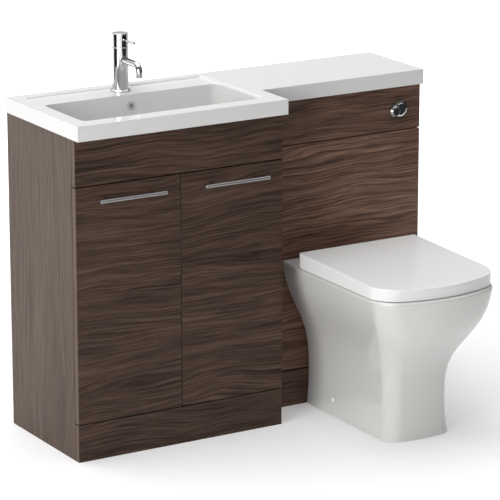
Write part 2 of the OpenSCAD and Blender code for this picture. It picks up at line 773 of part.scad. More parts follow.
module hinge_cups(edge, side) color(steel) for (z = hinge_zs) translate([edge + side * cup_in, 0, z]) difference() {
    union() {
        bar_y(door_back - cup_h, door_back + flange_t, cup_r);
        for (s = [-1, 1]) translate([0, 0, s * 22.5]) bar_y(door_back, door_back + flange_t, 6);
        block(-6, 6, door_back, door_back + flange_t, -22.5, 22.5);
    }
    bar_y(door_back - cup_h + 1.2, door_back + over, cup_r - 1.5);
    for (s = [-1, 1]) translate([0, 0, s * 22.5]) bar_y(door_back - over, door_back + over, 2);
}

module hinge_cups_left() hinge_cups(door_l_x0, 1);
module hinge_cups_right() hinge_cups(door_r_x1, -1);

arm_w = 12;

// A hinge's plate on the side panel and its arm, whose end dips into the cup
module hinge_arms(edge, face, side) color(steel) for (z = hinge_zs) {
    near = abs(edge + side * (cup_in - 2) - face);
    translate([face, vanity_front, z]) {
        block(min(0, side * 2), max(0, side * 2), 20, 62, -24, 24);
        block(min(0, side * 6), max(0, side * 6), 24, 60, -arm_w / 2, arm_w / 2);
        difference() {
            block(min(side * 2, side * (near + 5)), max(side * 2, side * (near + 5)), -door_gap + 2, 64,
                -arm_w / 2, arm_w / 2);
            for (y = [32, 50]) translate([0, y, 0]) rotate([0, 90, 0]) cylinder(r = 2.2, h = 80, center = true, $fn = 32);
            block(min(side * (near - 1), side * -1), max(side * (near - 1), side * -1), -5, 18, -20, 20);
        }
        block(min(side * (near - 1), side * (near + 3)), max(side * (near - 1), side * (near + 3)),
            -door_gap - cup_h + 4, 4, -arm_w / 2 + 1, arm_w / 2 - 1);
    }
}

module hinge_arms_left() hinge_arms(door_l_x0, vanity_x0 + board_t, 1);
module hinge_arms_right() hinge_arms(door_r_x1, vanity_x1 - board_t, -1);

module door_buffers() color(plastic_white) {
    buffer_in = 25;
    for (x = [door_l_x1 - buffer_in, door_r_x0 + buffer_in], z = [base_z + board_t - 4, stretcher_z + 4])
        translate([x, 0, z]) bar_y(door_back + 0.2, vanity_front, 3);
}

// ---------------------------------------------------------------- toilet unit carcass

wc_in0 = wc_x0 + board_t;
wc_in1 = wc_x1 - board_t;
button_x = wc_x1 - button_in;
half_dx = (bezel_d + half_bezel_d) / 2 - 17;
half_dz = -4;
button_hole_r = 14.5;
half_hole_r = 9.5;
panel_soil_r = spigot_d / 2 + 14;
panel_inlet_r = flush_pipe_d / 2 + 14;

module wc_side_left() color(walnut_side) side_panel(wc_x0, 0, wc_d);
module wc_side_right() color(walnut_side) side_panel(wc_x1 - board_t, 0, wc_d);

module wc_rails() color(walnut_side) {
    wall_rail(wc_in0, wc_in1, carcass_h - rail_h, rail_h, fix_pitch_wc, rail_top);
    wall_rail(wc_in0, wc_in1, cistern_z, rail_h * 0.7, 0);
}

module wc_stretchers() color(walnut_side) for (z = [stretcher_z, base_z])
    block(wc_in0, wc_in1, wc_carcass_front, wc_carcass_front + stretcher_d - 20, z, z + board_t);

module wc_front(z0, z1) block(wc_x0 + front_inset, wc_x1 - front_inset, panel_face, wc_carcass_front, z0, z1);

module wc_fascia() color(walnut) difference() {
    wc_front(fascia_z0, fascia_z1);
    translate([button_x, 0, button_z]) bar_y(panel_face - over, wc_carcass_front + over, button_hole_r);
    translate([button_x - half_dx, 0, button_z + half_dz])
        bar_y(panel_face - over, wc_carcass_front + over, half_hole_r);
}

module wc_front_panel() color(walnut) difference() {
    wc_front(door_z0, door_z1);
    translate([wc_xc, 0, soil_z]) bar_y(panel_face - over, wc_carcass_front + over, panel_soil_r);
    translate([wc_xc, 0, inlet_z]) bar_y(panel_face - over, wc_carcass_front + over, panel_inlet_r);
}

module wc_plinth() color(walnut) wc_front(0, plinth_top);

// ---------------------------------------------------------------- cistern

cistern_y1 = from_wall(board_t);
cistern_yc = cistern_y1 - cistern_d / 2;
cistern_w = wc_in1 - wc_in0 - 2 * cistern_gap;
cistern_top = cistern_z + cistern_h;
cistern_r = 18;
valve_dx = cistern_w / 2 - 50;
outlet_r = 26;
pipe_out_r = flush_pipe_d / 2;

module cistern_tank() color(plastic_grey) translate([wc_xc, cistern_yc, 0]) difference() {
    union() {
        translate([0, 0, cistern_z]) slab_round(cistern_w, cistern_d, cistern_r, cistern_h);
        for (s = [-1, 1]) translate([s * cistern_w / 4, -cistern_d / 2, 0])
            block(-3, 3, -2.5, 2, cistern_z + 15, cistern_top - 20);
        bar_z(cistern_z - 3, cistern_z + 2, outlet_r + 12);
    }
    translate([0, 0, cistern_z + cistern_t])
        slab_round(cistern_w - 2 * cistern_t, cistern_d - 2 * cistern_t, cistern_r - cistern_t, cistern_h);
    bar_z(cistern_z - 10, cistern_z + 10, outlet_r);
    translate([valve_dx, 0, 0]) bar_z(cistern_z - 10, cistern_z + 10, inlet_r + hole_gap);
}

lid_lap = 3;

module cistern_lid() color(plastic_grey) translate([wc_xc, cistern_yc, cistern_top]) {
    slab_round(cistern_w, cistern_d, cistern_r, 5);
    translate([0, 0, 5]) slab_round(cistern_w - 60, cistern_d - 50, 10, 3);
    lip = cistern_t + 0.4;
    translate([0, 0, -lid_lap]) difference() {
        slab_round(cistern_w - 2 * lip, cistern_d - 2 * lip, cistern_r - lip, lid_lap + 1);
        translate([0, 0, -over]) slab_round(cistern_w - 2 * lip - 6, cistern_d - 2 * lip - 6, cistern_r - lip - 3, 8);
    }
}

inlet_r = 10.4;
inlet_l = 42;        // length of the inlet's thread below the cistern
float_r = 23;        // float cup round the fill valve's stem
float_h = 60;
valve_head_r = 19;
valve_head_h = 35;
valve_z = cistern_z + 0.66 * cistern_h;    // underside of the fill valve's head

module fill_valve() color(plastic_white) translate([wc_xc + valve_dx, cistern_yc, 0]) {
    bar_z(cistern_z - inlet_l, cistern_z + cistern_t, inlet_r);
    bar_z(cistern_z + cistern_t, cistern_z + cistern_t + 4, inlet_r + 8);
    bar_z(cistern_z + cistern_t, valve_z, 11);
    bar_z(valve_z, valve_z + valve_head_h, valve_head_r);
    bar_z(valve_z - float_h - 8, valve_z - 8, float_r);
    difference() {
        translate([0, 0, cistern_z - 15]) cylinder(r = inlet_r + 7, h = 15, $fn = 6);
        bar_z(cistern_z - 20, cistern_z + 5, inlet_r - 0.01);
    }
}

module flush_valve() color(plastic_white) translate([wc_xc, cistern_yc, 0]) difference() {
    union() {
        bar_z(cistern_z - 32, cistern_z + cistern_t, outlet_r);
        bar_z(cistern_z + cistern_t, cistern_z + cistern_t + 8, outlet_r + 12);
        bar_z(cistern_z + cistern_t + 8, cistern_z + 34, outlet_r + 6);
        bar_z(cistern_z + 30, valve_z - 20, outlet_r);
        bar_z(valve_z - 22, valve_z + 4, outlet_r + 8);
        translate([-outlet_r - 10, 0, 0]) bar_z(cistern_z + cistern_t + 6, valve_z + valve_head_h + 5, 8);
    }
    bar_z(cistern_z - 40, cistern_z + 20, pipe_out_r + hole_gap / 2);
    for (a = [45:90:315]) rotate(a) block(10, 60, -6, 6, cistern_z + cistern_t + 12, cistern_z + 28);
}

bend_r = 58;
pipe_y = cistern_yc;
cone_depth = 20;     // depth of the pan's socket for the flush cone
inlet_end = panel_face - cone_depth + 3;

// The flush pipe's path drawn solid at radius r
module flush_path(r, top, end) translate([wc_xc, pipe_y, 0]) bent_bar([[0, top], [0, inlet_z + bend_r],
    [-0.3 * bend_r, inlet_z + 0.3 * bend_r], [-bend_r, inlet_z], [end - pipe_y, inlet_z]], r, 0.6);

module flush_pipe() {
    color(plastic_white) difference() {
        flush_path(pipe_out_r, cistern_z + 8, inlet_end);
        flush_path(pipe_out_r - 2, cistern_z + 20, inlet_end - 10);
    }
    color(plastic_white) translate([wc_xc, pipe_y, 0]) difference() {
        bar_z(cistern_z - 40, cistern_z - 3, outlet_r + 8);
        bar_z(cistern_z - 34, cistern_z + over, outlet_r + fit);
        bar_z(cistern_z - 50, cistern_z, pipe_out_r + fit);
    }
}

cone_r = pipe_out_r + 7;

module flush_cone() color(rubber_black) translate([wc_xc, panel_face, inlet_z]) difference() {
    union() {
        bar_y(0, 4, cone_r + 4);
        rotate([90, 0, 0]) cylinder(r1 = cone_r - fit, r2 = cone_r - 2, h = cone_depth - 1, $fn = steps);
    }
    bar_y(-cone_depth - over, 10, pipe_out_r);
}

// ---------------------------------------------------------------- flush button

bezel_h = 6;
half_collar_h = 9;
web_t = 1.2;         // bezel's floor under the two buttons
face_r = bezel_d / 2 - 4.5;
half_face_r = half_bezel_d / 2 - 2.5;
full_proud = 2.5;
half_proud = 4;
stem_r = 4;
housing_y = wc_carcass_front;

module at_button() translate([button_x, panel_face, button_z]) children();
module at_half() translate([-half_dx, 0, half_dz]) children();

module flush_bezel() color(chrome) at_button() difference() {
    union() {
        bar_y(-bezel_h + 1.2, 0, bezel_d / 2);
        translate([0, -bezel_h + 1.2, 0]) rotate([90, 0, 0])
            cylinder(r1 = bezel_d / 2, r2 = bezel_d / 2 - 2, h = 1.2, $fn = steps);
        at_half() bar_y(-half_collar_h + 1, 0, half_bezel_d / 2);
        at_half() translate([0, -half_collar_h + 1, 0]) rotate([90, 0, 0])
            cylinder(r1 = half_bezel_d / 2, r2 = half_bezel_d / 2 - 1, h = 1, $fn = steps);
        bar_y(0, front_t + 14, button_hole_r - hole_gap);
        at_half() bar_y(0, front_t + 14, half_hole_r - hole_gap);
    }
    difference() {
        bar_y(-bezel_h - over, -web_t, face_r + seat_gap);
        at_half() bar_y(-half_collar_h - over, 20, half_bezel_d / 2 - 0.01);
    }
    difference() {
        bar_y(-bezel_h - over, front_t - 2, button_hole_r - hole_gap - 2.5);
        at_half() bar_y(-half_collar_h - over, 40, half_hole_r - hole_gap + 0.8);
    }
    bar_y(-over, front_t + 20, stem_r + fit);
    at_half() bar_y(-half_collar_h - over, -web_t, half_face_r + seat_gap);
    at_half() bar_y(-over - 2, front_t + 20, stem_r + fit);
}

module full_flush_button() color(chrome) at_button() {
    difference() {
        union() {
            bar_y(-bezel_h - full_proud + 1, -button_travel - web_t - 0.2, face_r);
            translate([0, -bezel_h - full_proud + 1, 0]) rotate([90, 0, 0])
                cylinder(r1 = face_r, r2 = face_r - 1, h = 1, $fn = steps);
        }
        at_half() bar_y(-40, 20, half_bezel_d / 2 + seat_gap);
    }
    bar_y(-bezel_h - 1, front_t + 16, stem_r);
}

module half_flush_button() color(chrome) at_button() at_half() {
    bar_y(-half_collar_h - half_proud + 1, -half_collar_h + 1, half_face_r);
    translate([0, -half_collar_h - half_proud + 1, 0]) rotate([90, 0, 0])
        cylinder(r1 = half_face_r, r2 = half_face_r - 1, h = 1, $fn = steps);
    bar_y(-half_collar_h, front_t + 16, stem_r);
}

module flush_backnut() color(plastic_white) at_button() difference() {
    union() {
        translate([0, front_t, 0]) rotate([-90, 0, 0]) {
            cylinder(r = button_hole_r + 7, h = 8, $fn = 8);
            translate([-half_dx, -half_dz, 0]) cylinder(r = half_hole_r + 6, h = 8, $fn = 8);
        }
    }
    bar_y(front_t - over, front_t + 20, button_hole_r - hole_gap);
    at_half() bar_y(front_t - over, front_t + 20, half_hole_r - hole_gap);
}

// ---------------------------------------------------------------- toilet pan

pan_y1 = panel_face;
pan_front = panel_face - pan_l;
pan_r = 50;          // corner radius of the rim
foot_r = 37;         // corner radius of the foot
back_tuck = 3;       // how far each side draws in towards the panel at the rim
tuck_run = 150;

// Ring of a D-shaped level section: straight back, straight sides drawn in towards the back
// by tuck, round front corners and a bowed front
function dee(half_w, y1, y0, r, bow, z, r_back = 1.5, tuck = 0) = let (
    k = min(1, (y1 - r_back - y0 - r) / 110),
    run = concat(
        arc(half_w - r_back, y1 - r_back, r_back, 0, 90, 3), arc(-half_w + r_back, y1 - r_back, r_back, 90, 180, 3),
        [for (s = [4, 10, 16, 90]) [-half_w, y1 - r_back - s * k]],
        arc(-half_w + r, y0 + r, r, 180, 270, 7),
        [for (i = [1:5]) [(-half_w + r) + (2 * half_w - 2 * r) * i / 6, y0]],
        arc(half_w - r, y0 + r, r, 270, 360, 7),
        [for (s = [90, 16, 10, 4]) [half_w, y1 - r_back - s * k]]))
    [for (p = run) [p[0] * (1 - tuck / half_w * pow(max(0, 1 - (y1 - p[1]) / tuck_run), 2)),
        p[1] - (p[1] < y0 + r + 0.01 ? bow * (1 - pow(p[0] / half_w, 2)) : 0), z]];

function blend(a, b, t) = a + (b - a) * t;

// An S-shaped rise from 0 to 1 as t goes from 0 to 1, its two ends shaped by a and b
function rise(t, a, b) = t <= 0 ? 0 : t >= 1 ? 1 : pow(t, a) / (pow(t, a) + pow(1 - t, b));

waist_z = 95;        // height where the sides begin to swell towards the rim
waist_front_z = 130; // height where the front does
function side_rise(z) = rise((z - waist_z) / (pan_h - waist_z), 2.34, 1.42);
function front_rise(z) = rise((z - waist_front_z) / (pan_h - waist_front_z), 1.89, 2.16);
function flare(z) = z > 90 ? 0 : pow(1 - z / 90, 2);

// Half width, front edge and corner radius of the pan at height z
function pan_w(z) = blend(waist_half_w, pan_half_w, side_rise(z)) + (foot_half_w - waist_half_w) * flare(z);
function pan_y0(z) = panel_face + foot_bow - blend(waist_l, foot_l, flare(z))
    - (pan_l - waist_l + foot_bow - pan_bow) * front_rise(z);

function pan_bow_at(z) = blend(foot_bow, pan_bow, front_rise(z));

function pan_ring(z, inset = 0, drop = 0) = dee(pan_w(z) - inset, pan_y1, pan_y0(z) + inset,
    blend(foot_r, pan_r, front_rise(z)) - inset, pan_bow_at(z), z - drop, 1.5, back_tuck * side_rise(z));

// Rounding of the rim's outer edge: inset and drop of each ring
rim_rolls = [[0, 8], [0.3, 5], [1.4, 2.4], [3.4, 0.7], [6, 0]];
skin_zs = [0, 12, 30, 55, 95, 130, 160, 185, 210, 235, 260, 290, 320, 350, 378];

module pan_skin() loft(concat([for (z = skin_zs) pan_ring(z)],
    [for (s = rim_rolls) pan_ring(pan_h, s[0], s[1])]));

// Hollow of the foot and the sides, open below and at the back
chamber_zs = [-over, 20, 60, 110, 160, 210, 260, 310, 350, pan_h - china_t];
module pan_chamber() loft([for (h = chamber_zs) let (z = max(h, 0),
    w = pan_w(z) - china_t - back_tuck * side_rise(z))
    lift(round_box(-w, w, pan_y0(z) - 0.8 * pan_bow_at(z) + china_t, pan_y1 + china_t,
        blend(45, 105, front_rise(z)), 3), h)]);

// The bowl from its floor up: height, half width, back edge, front edge, corner radius
bowl_back = pan_y1 - 153;
bowl_front = pan_front + 42;
bowl_mouth_w = pan_half_w - 46;
bowl_bow = 26;
bowl_levels = [[-282, -93, -36, 196, -40], [-250, -84, -30, 172, -34], [-205, -62, -24, 128, -20],
    [-160, -40, -18, 82, -8], [-110, -22, -12, 42, 0], [-60, -9, -7, 16, 4], [-26, -5, -4, 6, 4],
    [-5, -2, -2, 2, 2], [-1.4, 0, 0, 0, 2], [-0.3, 3, 3, -3, 2], [0, 6, 6, -6, 4], [over, 6, 6, -6, 4]];

module pan_bowl() loft([for (s = bowl_levels) dee(bowl_mouth_w + s[1], bowl_back + s[2],
    bowl_front + bowl_bow + s[3], 80 + s[4], bowl_bow + s[4] / 2, pan_h + s[0], 52 + s[4])]);

// The bowl's outer side inside the hollow
module bowl_back_side() loft(concat(
    [for (s = [for (i = [0:6]) bowl_levels[i]]) let (w = bowl_mouth_w + s[1] + china_t - 2)
        lift(round_box(-w, w, bowl_front + s[3] - china_t + 2, bowl_back + s[2] + china_t - 2,
            85 + s[4], 3), pan_h + s[0] - (s[0] < -250 ? china_t : 4))]));

sump_z = pan_h + bowl_levels[0][0];

spigot_r = spigot_d / 2;
trap_bore = spigot_r - 13;
trap_points = [[bowl_back - 68, sump_z + 32], [bowl_back + 4, soil_z + 84], [bowl_back + 58, soil_z]];

trap_ball = 1.2;
module trapway(r) translate([wc_xc, 0, 0]) {
    bent_bar(trap_points, r, trap_ball);
    for (i = [0, 2]) translate([0, trap_points[i][0], trap_points[i][1]]) sphere(r = r + trap_ball, $fn = steps);
}

spigot_end = panel_face + 64;
inlet_out_r = cone_r + 10;
fixing_y = panel_face - 124;
fixing_z = 43;
fixing_r = 3;
post_x = hinge_pitch / 2;
axis_y = panel_face - lid_back - 15;
axis_z = pan_h + seat_axis_z;

module toilet_pan() color(china) difference() {
    union() {
        translate([wc_xc, 0, 0]) {
            difference() {
                pan_skin();
                pan_chamber();
            }
            bowl_back_side();
        }
        trapway(trap_bore + 9);
        translate([wc_xc, 0, soil_z]) bar_y(trap_points[2][0], spigot_end, spigot_r);
        translate([wc_xc, 0, inlet_z]) bar_y(bowl_back - 2, pan_y1, inlet_out_r);
    }
    translate([wc_xc, 0, 0]) pan_bowl();
    trapway(trap_bore);
    translate([wc_xc, 0, soil_z]) bar_y(trap_points[2][0], spigot_end + over, trap_bore);
    translate([wc_xc, 0, inlet_z]) {
        bar_y(bowl_back - 30, pan_y1 + over, cone_r - 8);
        bar_y(panel_face - cone_depth, panel_face + over, cone_r);
    }
    for (s = [-1, 1]) {
        translate([wc_xc + s * post_x, axis_y, 0]) bar_z(pan_h - 40, pan_h + over, post_bolt_r + 1.5);
        translate([wc_xc, fixing_y, fixing_z]) rotate([0, 0, s > 0 ? 0 : 180]) bar_x(20, 140, fixing_r + hole_gap);
    }
}

module soil_connector() color(plastic_white) translate([wc_xc, 0, soil_z]) difference() {
    sleeve_y = wc_carcass_front + 4;
    union() {
        bar_y(sleeve_y, spigot_end + 8, spigot_r + 8);
        translate([0, spigot_end + 20, 0]) rotate([90, 0, 0])
            cylinder(r1 = soil_pipe_d / 2, r2 = spigot_r + 8, h = 12.5, $fn = steps);
        bar_y(spigot_end + 7, wall, soil_pipe_d / 2);
    }
    bar_y(sleeve_y - over, spigot_end + 0.01, spigot_r);
    bar_y(spigot_end - over, wall + over, soil_pipe_d / 2 - 4);
}

bracket_w = 34;
wall_in = pan_w(chamber_zs[2]) - china_t;    // inner side of the pan where it is narrowest

module pan_fixings() color(steel) for (s = [-1, 1]) translate([wc_xc, fixing_y, 0]) rotate([0, 0, s > 0 ? 0 : 180]) {
    difference() {
        union() {
            block(wall_in - 6, wall_in - 0.2, -bracket_w / 2, bracket_w / 2, 0, fixing_z + 14);
            block(wall_in - 40, wall_in - 0.2, -bracket_w / 2, bracket_w / 2, 0, 4);
        }
        translate([0, 0, fixing_z]) bar_x(wall_in - 10, wall_in + 10, fixing_r);
        translate([wall_in - 26, 0, 0]) bar_z(-over, 10, 3.5);
    }
    translate([0, 0, fixing_z]) bar_x(wall_in - 16, pan_w(fixing_z) + 0.6, fixing_r);
}

module pan_screw_caps() color(plastic_white) for (s = [-1, 1])
    translate([wc_xc + s * (pan_w(fixing_z) + 0.6), fixing_y, fixing_z]) rotate([0, s * 90, 0])
        rotate_extrude($fn = steps) polygon([[0, 0], [7, 0], [7, 1], [5.5, 2.6], [3, 3.6], [0, 4]]);

// ---------------------------------------------------------------- seat and lid

lid_y1 = panel_face - lid_back;
lid_y0 = pan_front + lid_in + lid_bow;
lid_r = 51;
lid_z0 = pan_h + 1.2;
lid_z1 = pan_h + lid_rise;
lid_round = 15;
post_bolt_r = 4;
knuckle_r = 9;
pin_rod_r = 4;
post_w = 20;
knuckle_w = 12;
knuckle_gap = 0.6;
seat_k0 = post_x + post_w / 2 + knuckle_gap;
lid_k0 = seat_k0 + knuckle_w + knuckle_gap;
pin_end = lid_k0 + knuckle_w;
seat_z0 = pan_h + 3;
seat_z1 = seat_z0 + seat_t;
ring_y1 = axis_y - 17;

// A lid ring at height z measured at the back edge, tipped down to the front by the fall f
function lid_ring(inset, z, f, rounding = 0) = [for (p = dee(lid_half_w - inset, lid_y1 - inset,
        lid_y0 + inset, lid_r - inset, lid_bow, z, max(5 - inset, 1)))
    let (back = lid_y1 - p[1],
        up = rounding > back ? rounding - sqrt(pow(rounding, 2) - pow(rounding - back, 2)) : 0)
    [p[0], p[1], z + up - f * back / (lid_y1 - lid_y0)]];

module lid_shell() translate([wc_xc, 0, 0]) loft([
    lid_ring(lid_t + 0.5, lid_z1 - lid_t, lid_fall),
    lid_ring(lid_t, lid_z1 - lid_t - 2, lid_fall),
    lid_ring(lid_t, lid_z0 + 0.6, 0, lid_round - 1),
    lid_ring(lid_t - 1, lid_z0, 0, lid_round),
    lid_ring(0.8, lid_z0, 0, lid_round),
    lid_ring(0, lid_z0 + 0.8, 0, lid_round),
    lid_ring(0, lid_z1 - 2.2, lid_fall),
    lid_ring(0.6, lid_z1 - 0.7, lid_fall),
    lid_ring(2.2, lid_z1, lid_fall)]);

module at_axis() translate([wc_xc, axis_y, axis_z]) children();

module toilet_lid() color(white_gloss) difference() {
    union() {
        difference() {
            lid_shell();
            for (s = [-1, 1]) translate([wc_xc + s * (post_x + pin_end - post_w / 2) / 2, 0, 0])
                block(-(pin_end - post_x + post_w) / 2 - 2, (pin_end - post_x + post_w) / 2 + 2,
                    lid_y1 - lid_t - 1.2, lid_y1 + over, lid_z0 - over, lid_z1 - lid_t - 1);
        }
        for (s = [-1, 1]) at_axis() mirror([s > 0 ? 0 : 1, 0, 0]) {
            bar_x(lid_k0, pin_end, knuckle_r);
            block(lid_k0, pin_end, -knuckle_r, knuckle_r, 0, lid_z1 - lid_t / 2 - 1.2 - axis_z);
        }
        lid_buffers();
    }
    at_axis() for (s = [-1, 1]) mirror([s > 0 ? 0 : 1, 0, 0]) bar_x(lid_k0 - over, pin_end - 2, pin_rod_r + fit);
}

// Round pads under the lid that rest on the seat ring
module lid_buffers() for (s = [-1, 1], y = [lid_y0 + 40, (lid_y0 + lid_y1) / 2 - 30])
    translate([wc_xc + s * (lid_half_w - seat_band / 2 - 6), y, 0])
        bar_z(seat_z1 + seat_gap, lid_z1 - lid_t / 2 - lid_fall * (lid_y1 - y) / (lid_y1 - lid_y0), 7);

seat_half_w = lid_half_w - lid_t - 1.5;
seat_y0 = lid_y0 + lid_t + 1.5;

function seat_outer(inset, z) = dee(seat_half_w - inset, ring_y1 - inset, seat_y0 + inset, lid_r - lid_t - inset,
    lid_bow, z, 12);
function seat_inner(inset, z) = dee(seat_half_w - seat_band - inset, ring_y1 - 34 - inset,
    pan_front + lid_in + bowl_bow + seat_band + 8 + inset, 80, bowl_bow, z, 60);

module seat_ring() color(white_gloss) difference() {
    union() {
        translate([wc_xc, 0, 0]) loft([
            seat_outer(0.8, seat_z0), seat_outer(0, seat_z0 + 0.8),
            seat_outer(0, seat_z1 - 3), seat_outer(1.6, seat_z1 - 0.8), seat_outer(5, seat_z1),
            seat_inner(-8, seat_z1 - 0.6), seat_inner(-3, seat_z1 - 2.4), seat_inner(0, seat_z1 - 6),
            seat_inner(-1, seat_z0)], true);
        at_axis() for (s = [-1, 1]) mirror([s > 0 ? 0 : 1, 0, 0]) {
            bar_x(seat_k0, seat_k0 + knuckle_w, knuckle_r);
            block(seat_k0, seat_k0 + knuckle_w, -24, 0, seat_z0 + 2 - axis_z, seat_z1 - 1 - axis_z);
        }
    }
    at_axis() for (s = [-1, 1]) mirror([s > 0 ? 0 : 1, 0, 0]) bar_x(seat_k0 - over, seat_k0 + knuckle_w + over, pin_rod_r + fit);
}

module seat_hinge_posts() color(steel) for (s = [-1, 1]) translate([wc_xc + s * post_x, axis_y, 0]) difference() {
    union() {
        bar_z(pan_h, pan_h + 3, post_w / 2 + 1.5);
        block(-post_w / 2, post_w / 2, -knuckle_r + 1, knuckle_r - 1, pan_h, axis_z);
        translate([0, 0, axis_z]) bar_x(-post_w / 2, post_w / 2, knuckle_r - 1);
        bar_z(pan_h - china_t - 8, pan_h + 1, post_bolt_r);
        translate([0, 0, pan_h - china_t - 6]) cylinder(r = 9, h = 6, $fn = 6);
    }
    translate([0, 0, axis_z]) bar_x(-post_w, post_w, pin_rod_r);
}

module seat_hinge_pins() color(steel) at_axis() for (s = [-1, 1]) mirror([s > 0 ? 0 : 1, 0, 0])
    bar_x(post_x - post_w / 2, pin_end - 2.3, pin_rod_r);

module seat_buffers() color(plastic_white) for (s = [-1, 1], y = [seat_y0 + 34, (seat_y0 + ring_y1) / 2])
    translate([wc_xc + s * (seat_half_w - seat_band / 2 + 4), y, 0]) bar_z(pan_h, seat_z0 - seat_gap + 0.1, 9);

worktop_basin();
overflow_ring();
basin_waste();
waste_plug();
waste_nut();
bottle_trap();
trap_cup();
tap_body();
tap_cartridge();
tap_aerator();
tap_cap();
tap_lever();
tap_clamp();
tap_tails();
vanity_side_left();
vanity_side_right();
vanity_base_panel();
vanity_stretcher();
vanity_wall_rails();
vanity_fascia();
vanity_plinth();
vanity_shelf();
shelf_pins();
door_left();
door_right();
handle_left();
handle_right();
handle_screws_left();
handle_screws_right();
hinge_cups_left();
hinge_cups_right();
hinge_arms_left();
hinge_arms_right();
door_buffers();
wc_side_left();
wc_side_right();
wc_rails();
wc_stretchers();
wc_fascia();
wc_front_panel();
wc_plinth();
cistern_tank();
cistern_lid();
fill_valve();
flush_valve();
flush_pipe();
flush_cone();
flush_bezel();
full_flush_button();
half_flush_button();
flush_backnut();
toilet_pan();
soil_connector();
pan_fixings();
pan_screw_caps();
seat_hinge_posts();
seat_hinge_pins();
seat_ring();
toilet_lid();
seat_buffers();
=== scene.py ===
import json
import math
import bpy
import numpy as np
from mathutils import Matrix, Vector


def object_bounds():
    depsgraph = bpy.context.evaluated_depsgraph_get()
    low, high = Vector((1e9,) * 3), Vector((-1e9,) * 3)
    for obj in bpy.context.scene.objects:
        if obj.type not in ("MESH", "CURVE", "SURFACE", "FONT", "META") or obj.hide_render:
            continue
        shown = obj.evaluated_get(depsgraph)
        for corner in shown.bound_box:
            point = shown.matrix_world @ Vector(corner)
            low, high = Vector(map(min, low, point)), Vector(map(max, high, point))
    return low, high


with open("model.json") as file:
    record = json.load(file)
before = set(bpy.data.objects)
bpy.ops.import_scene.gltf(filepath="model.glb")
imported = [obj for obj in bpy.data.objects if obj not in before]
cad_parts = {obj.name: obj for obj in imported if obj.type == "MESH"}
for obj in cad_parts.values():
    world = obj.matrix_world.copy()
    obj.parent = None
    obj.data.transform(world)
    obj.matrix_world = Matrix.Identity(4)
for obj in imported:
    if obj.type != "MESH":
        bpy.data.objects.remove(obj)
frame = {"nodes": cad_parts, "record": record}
low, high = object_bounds()
nodes = frame["nodes"]


# ------------------------------------------------------------------ shader helpers

class Tree:
    """A node tree, built with short calls."""

    def __init__(self, tree):
        self.tree = tree

    def add(self, kind, **settings):
        node = self.tree.nodes.new(kind)
        for key, value in settings.items():
            setattr(node, key, value)
        return node

    def link(self, out, socket):
        self.tree.links.new(out, socket)

    def feed(self, socket, value):
        if isinstance(value, bpy.types.NodeSocket):
            self.link(value, socket)
        else:
            socket.default_value = value

    def math(self, op, a, b=0.0):
        node = self.add("ShaderNodeMath", operation=op)
        self.feed(node.inputs[0], a)
        self.feed(node.inputs[1], b)
        return node.outputs[0]

    def place(self, scale, move=(0, 0, 0), order="xyz"):
        """Object coordinates in metres: axes put in order, then moved and scaled."""
        coord = self.add("ShaderNodeTexCoord").outputs["Object"]
        if order != "xyz":
            parts, whole = self.add("ShaderNodeSeparateXYZ"), self.add("ShaderNodeCombineXYZ")
            self.link(coord, parts.inputs[0])
            for i, axis in enumerate(order):
                self.link(parts.outputs["xyz".index(axis)], whole.inputs[i])
            coord = whole.outputs[0]
        node = self.add("ShaderNodeVectorMath", operation="MULTIPLY_ADD")
        self.link(coord, node.inputs[0])
        node.inputs[1].default_value = scale
        node.inputs[2].default_value = [m * s for m, s in zip(move, scale)]
        return node.outputs[0]

    def noise(self, vector, scale=1.0, detail=3.0, rough=0.5, warp=0.0):
        node = self.add("ShaderNodeTexNoise")
        self.link(vector, node.inputs["Vector"])
        node.inputs["Scale"].default_value = scale
        node.inputs["Detail"].default_value = detail
        node.inputs["Roughness"].default_value = rough
        node.inputs["Distortion"].default_value = warp
        return node.outputs["Fac"]

    def spread(self, value, low_in, high_in, low_out=0.0, high_out=1.0, kind="LINEAR"):
        """Maps a range of the value onto another, held at both ends."""
        node = self.add("ShaderNodeMapRange", interpolation_type=kind)
        self.link(value, node.inputs["Value"])
        for key, number in (("From Min", low_in), ("From Max", high_in),
                            ("To Min", low_out), ("To Max", high_out)):
            node.inputs[key].default_value = number
        return node.outputs[0]

    def ramp(self, value, stops):
        node = self.add("ShaderNodeValToRGB")
        self.link(value, node.inputs[0])
        points = node.color_ramp.elements
        while len(points) < len(stops):
            points.new(0.5)
        for point, (at, colour) in zip(points, stops):
            point.position = at
            point.color = (*colour, 1)
        return node.outputs[0]

    def mix(self, amount, a, b):
        node = self.add("ShaderNodeMix", data_type="RGBA")
        self.feed(node.inputs[0], amount)
        for socket, colour in ((node.inputs[6], a), (node.inputs[7], b)):
            self.feed(socket, (*colour, 1) if isinstance(colour, tuple) else colour)
        return node.outputs[2]


def shade(colour, factor):
    return tuple(min(1, c * factor) for c in colour)


class Shader(Tree):
    """One material."""

    def __init__(self, name):
        self.mat = bpy.data.materials.new(name)
        self.mat.use_nodes = True
        super().__init__(self.mat.node_tree)
        self.bsdf = self.tree.nodes["Principled BSDF"]

    def surface(self, round_edge=0.0, bump=None, strength=0.1, depth=0.0005):
        """Rounds the look of hard edges and adds fine relief."""
        normal = None
        if round_edge:
            node = self.add("ShaderNodeBevel", samples=4)
            node.inputs["Radius"].default_value = round_edge
            normal = node.outputs[0]
        if bump is not None:
            node = self.add("ShaderNodeBump")
            node.inputs["Strength"].default_value = strength
            node.inputs["Distance"].default_value = depth
            self.link(bump, node.inputs["Height"])
            if normal is not None:
                self.link(normal, node.inputs["Normal"])
            normal = node.outputs[0]
        if normal is not None:
            self.link(normal, self.bsdf.inputs["Normal"])
        return self.mat

    def set(self, **values):
        for key, value in values.items():
            self.feed(self.bsdf.inputs[key.replace("_", " ")], value)


# ------------------------------------------------------------------ materials

